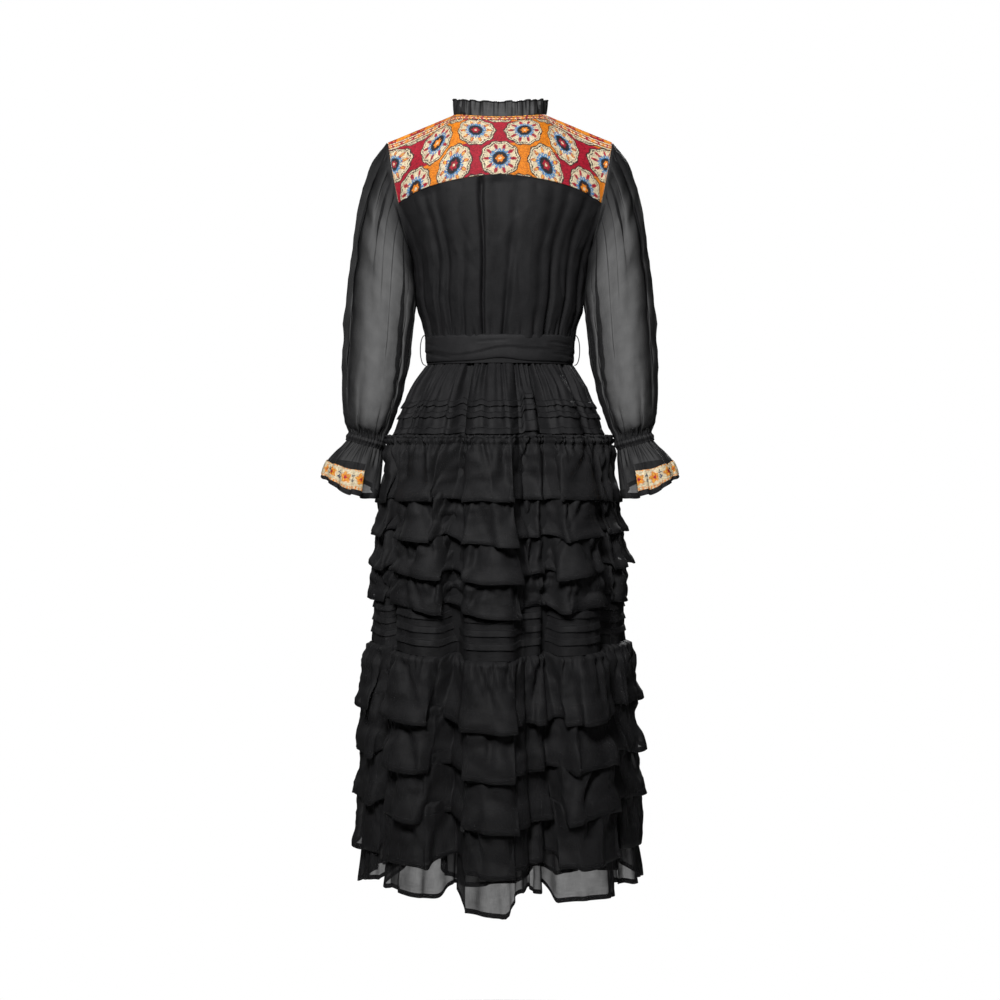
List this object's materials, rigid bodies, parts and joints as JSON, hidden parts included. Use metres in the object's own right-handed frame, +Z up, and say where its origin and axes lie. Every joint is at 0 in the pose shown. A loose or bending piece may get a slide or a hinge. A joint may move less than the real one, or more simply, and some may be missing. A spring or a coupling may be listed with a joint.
{
  "type": "maxi dress",
  "caption": "Long black tiered dress in its worn shape: embroidered yoke, gathered neck frill, sheer balloon sleeves with flared cuffs, tie belt, tucked bands and ruffles to a sheer hem.",
  "frame": {"origin": "between the shoulders at the height of the neck seam, where the wearer's neck and shoulders carry the dress", "axes": "+Z up the body, -Y out of the front, +X to the wearer's left"},
  "size_m": [0.605, 0.4945, 1.3539],
  "materials": {
    "crepe": "soft black crepe with a faint sheen",
    "georgette": "half sheer black georgette",
    "chiffon": "sheer black chiffon",
    "embroidery": "dense coloured chain and satin stitch",
    "belt_cloth": "satin backed black crepe",
    "button": "small black buttons"
  },
  "bodies": {
    "root": {"neck_frill": "chiffon", "back_yoke": "embroidery", "front_yoke_left": "embroidery", "front_yoke_right": "embroidery", "back_bodice": "crepe", "front_bodice_left": "crepe", "front_bodice_right": "crepe", "placket": "crepe", "button_1": "button", "button_2": "button", "button_3": "button", "button_4": "button", "button_5": "button", "button_6": "button", "sleeve_left": "chiffon", "sleeve_right": "chiffon", "cuff_elastic_left": "crepe", "cuff_elastic_right": "crepe", "cuff_flounce_left": "chiffon", "cuff_flounce_right": "chiffon", "cuff_band_left": "embroidery", "cuff_band_right": "embroidery", "waistband": "crepe", "belt": "belt_cloth", "belt_knot": "belt_cloth", "belt_tail_left": "belt_cloth", "belt_tail_right": "belt_cloth", "belt_loop_left": "crepe", "belt_loop_right": "crepe", "skirt_top": "crepe", "skirt_mid": "crepe", "tuck_band": "georgette", "skirt_lower": "georgette", "slip": "crepe", "ruffle_1": "georgette", "ruffle_2": "georgette", "ruffle_3": "georgette", "ruffle_4": "georgette", "ruffle_5": "georgette", "ruffle_6": "georgette", "ruffle_7": "georgette", "ruffle_8": "georgette"}
  },
  "joints": []
}
